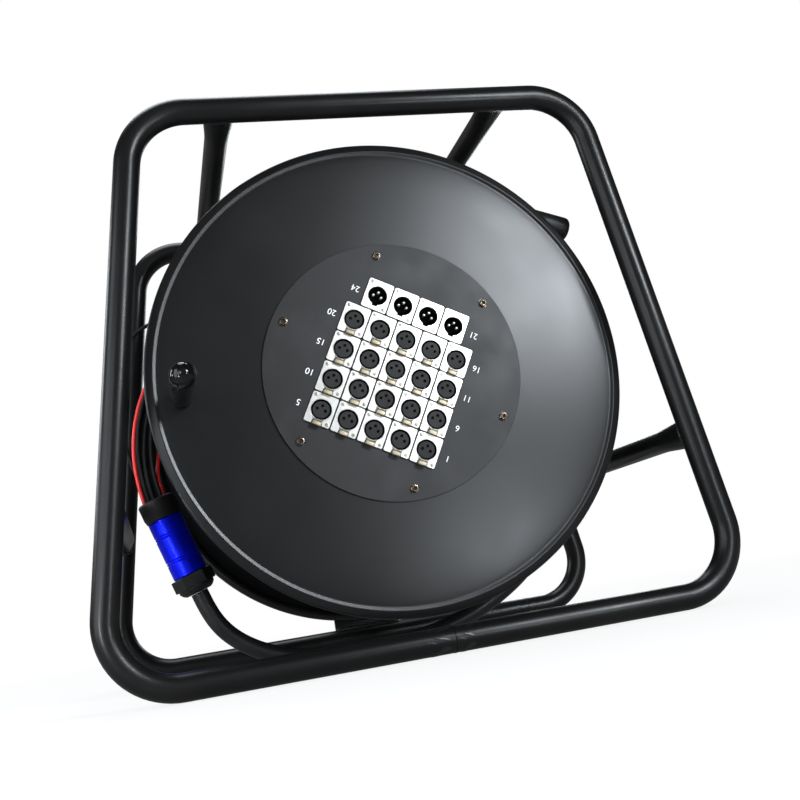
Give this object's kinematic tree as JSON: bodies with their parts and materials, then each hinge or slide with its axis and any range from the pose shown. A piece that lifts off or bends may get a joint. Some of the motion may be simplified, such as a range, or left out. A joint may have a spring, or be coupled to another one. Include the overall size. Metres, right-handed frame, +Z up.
{
  "type": "stage box snake",
  "caption": "Stage box snake: a drum of multicore cable on an axle in a tubular steel stand, with panel sockets on its front flange and a winding handle.",
  "frame": {"origin": "on the floor, under the middle of the front loop's bottom tube", "axes": "+X to the right seen from the panel side, +Y from the panel side to the axle plate, +Z up"},
  "size_m": [0.6, 0.4498, 0.5365],
  "materials": {
    "tube_paint": "satin black paint",
    "flange_paint": "satin black powder coat",
    "panel_paint": "fine matte black powder coat",
    "plain_steel": "zinc plated",
    "bronze": "machined bearing bronze",
    "jacket": "matte black cable jacket",
    "socket_nickel": "satin nickel plated casting",
    "latch_metal": "satin nickel",
    "knob_plastic": "glossy black",
    "blue_sleeve": "blue anodised",
    "fitting_plastic": "satin black nylon"
  },
  "bodies": {
    "stand": {"front_loop": "tube_paint", "rear_frame": "tube_paint", "axle": "plain_steel", "gland_nut": "fitting_plastic", "fanout_sleeve": "blue_sleeve", "fanout_cap": "fitting_plastic", "multicore_cable": "jacket", "tail_bundle": "jacket"},
    "drum": {"hub_bush": "bronze", "front_flange": "flange_paint", "rear_flange": "flange_paint", "drum_barrel": "flange_paint", "cable_layers": "jacket", "cable_winding": "jacket", "panel_disc": "panel_paint", "socket_01": "socket_nickel", "socket_02": "socket_nickel", "socket_03": "socket_nickel", "socket_04": "socket_nickel", "socket_05": "socket_nickel", "socket_06": "socket_nickel", "socket_07": "socket_nickel", "socket_08": "socket_nickel", "socket_09": "socket_nickel", "socket_10": "socket_nickel", "socket_11": "socket_nickel", "socket_12": "socket_nickel", "socket_13": "socket_nickel", "socket_14": "socket_nickel", "socket_15": "socket_nickel", "socket_16": "socket_nickel", "socket_17": "socket_nickel", "socket_18": "socket_nickel", "socket_19": "socket_nickel", "socket_20": "socket_nickel", "socket_21": "socket_nickel", "socket_22": "socket_nickel", "socket_23": "socket_nickel", "socket_24": "socket_nickel"},
    "handle": {"crank_knob": "knob_plastic"},
    "latch_body_01": {"latch_01": "latch_metal"},
    "latch_body_02": {"latch_02": "latch_metal"},
    "latch_body_03": {"latch_03": "latch_metal"},
    "latch_body_04": {"latch_04": "latch_metal"},
    "latch_body_05": {"latch_05": "latch_metal"},
    "latch_body_06": {"latch_06": "latch_metal"},
    "latch_body_07": {"latch_07": "latch_metal"},
    "latch_body_08": {"latch_08": "latch_metal"},
    "latch_body_09": {"latch_09": "latch_metal"},
    "latch_body_10": {"latch_10": "latch_metal"},
    "latch_body_11": {"latch_11": "latch_metal"},
    "latch_body_12": {"latch_12": "latch_metal"},
    "latch_body_13": {"latch_13": "latch_metal"},
    "latch_body_14": {"latch_14": "latch_metal"},
    "latch_body_15": {"latch_15": "latch_metal"},
    "latch_body_16": {"latch_16": "latch_metal"},
    "latch_body_17": {"latch_17": "latch_metal"},
    "latch_body_18": {"latch_18": "latch_metal"},
    "latch_body_19": {"latch_19": "latch_metal"},
    "latch_body_20": {"latch_20": "latch_metal"}
  },
  "joints": [
    {"name": "drum_spin", "type": "hinge", "parent": "stand", "child": "drum", "pos_m": [0, 0.2, 0.268], "axis": [0, 1, 0], "continuous": true},
    {"name": "handle_spin", "type": "hinge", "parent": "drum", "child": "handle", "pos_m": [-0.2035, 0, 0.263], "axis": [0, 1, 0], "continuous": true},
    {"name": "latch_press_01", "type": "slide", "parent": "drum", "child": "latch_body_01", "axis": [0, 1, 0], "range_m": [0, 0.0015], "stiffness_N_per_m": 800},
    {"name": "latch_press_02", "type": "slide", "parent": "drum", "child": "latch_body_02", "axis": [0, 1, 0], "range_m": [0, 0.0015], "stiffness_N_per_m": 800},
    {"name": "latch_press_03", "type": "slide", "parent": "drum", "child": "latch_body_03", "axis": [0, 1, 0], "range_m": [0, 0.0015], "stiffness_N_per_m": 800},
    {"name": "latch_press_04", "type": "slide", "parent": "drum", "child": "latch_body_04", "axis": [0, 1, 0], "range_m": [0, 0.0015], "stiffness_N_per_m": 800},
    {"name": "latch_press_05", "type": "slide", "parent": "drum", "child": "latch_body_05", "axis": [0, 1, 0], "range_m": [0, 0.0015], "stiffness_N_per_m": 800},
    {"name": "latch_press_06", "type": "slide", "parent": "drum", "child": "latch_body_06", "axis": [0, 1, 0], "range_m": [0, 0.0015], "stiffness_N_per_m": 800},
    {"name": "latch_press_07", "type": "slide", "parent": "drum", "child": "latch_body_07", "axis": [0, 1, 0], "range_m": [0, 0.0015], "stiffness_N_per_m": 800},
    {"name": "latch_press_08", "type": "slide", "parent": "drum", "child": "latch_body_08", "axis": [0, 1, 0], "range_m": [0, 0.0015], "stiffness_N_per_m": 800},
    {"name": "latch_press_09", "type": "slide", "parent": "drum", "child": "latch_body_09", "axis": [0, 1, 0], "range_m": [0, 0.0015], "stiffness_N_per_m": 800},
    {"name": "latch_press_10", "type": "slide", "parent": "drum", "child": "latch_body_10", "axis": [0, 1, 0], "range_m": [0, 0.0015], "stiffness_N_per_m": 800},
    {"name": "latch_press_11", "type": "slide", "parent": "drum", "child": "latch_body_11", "axis": [0, 1, 0], "range_m": [0, 0.0015], "stiffness_N_per_m": 800},
    {"name": "latch_press_12", "type": "slide", "parent": "drum", "child": "latch_body_12", "axis": [0, 1, 0], "range_m": [0, 0.0015], "stiffness_N_per_m": 800},
    {"name": "latch_press_13", "type": "slide", "parent": "drum", "child": "latch_body_13", "axis": [0, 1, 0], "range_m": [0, 0.0015], "stiffness_N_per_m": 800},
    {"name": "latch_press_14", "type": "slide", "parent": "drum", "child": "latch_body_14", "axis": [0, 1, 0], "range_m": [0, 0.0015], "stiffness_N_per_m": 800},
    {"name": "latch_press_15", "type": "slide", "parent": "drum", "child": "latch_body_15", "axis": [0, 1, 0], "range_m": [0, 0.0015], "stiffness_N_per_m": 800},
    {"name": "latch_press_16", "type": "slide", "parent": "drum", "child": "latch_body_16", "axis": [0, 1, 0], "range_m": [0, 0.0015], "stiffness_N_per_m": 800},
    {"name": "latch_press_17", "type": "slide", "parent": "drum", "child": "latch_body_17", "axis": [0, 1, 0], "range_m": [0, 0.0015], "stiffness_N_per_m": 800},
    {"name": "latch_press_18", "type": "slide", "parent": "drum", "child": "latch_body_18", "axis": [0, 1, 0], "range_m": [0, 0.0015], "stiffness_N_per_m": 800},
    {"name": "latch_press_19", "type": "slide", "parent": "drum", "child": "latch_body_19", "axis": [0, 1, 0], "range_m": [0, 0.0015], "stiffness_N_per_m": 800},
    {"name": "latch_press_20", "type": "slide", "parent": "drum", "child": "latch_body_20", "axis": [0, 1, 0], "range_m": [0, 0.0015], "stiffness_N_per_m": 800}
  ]
}
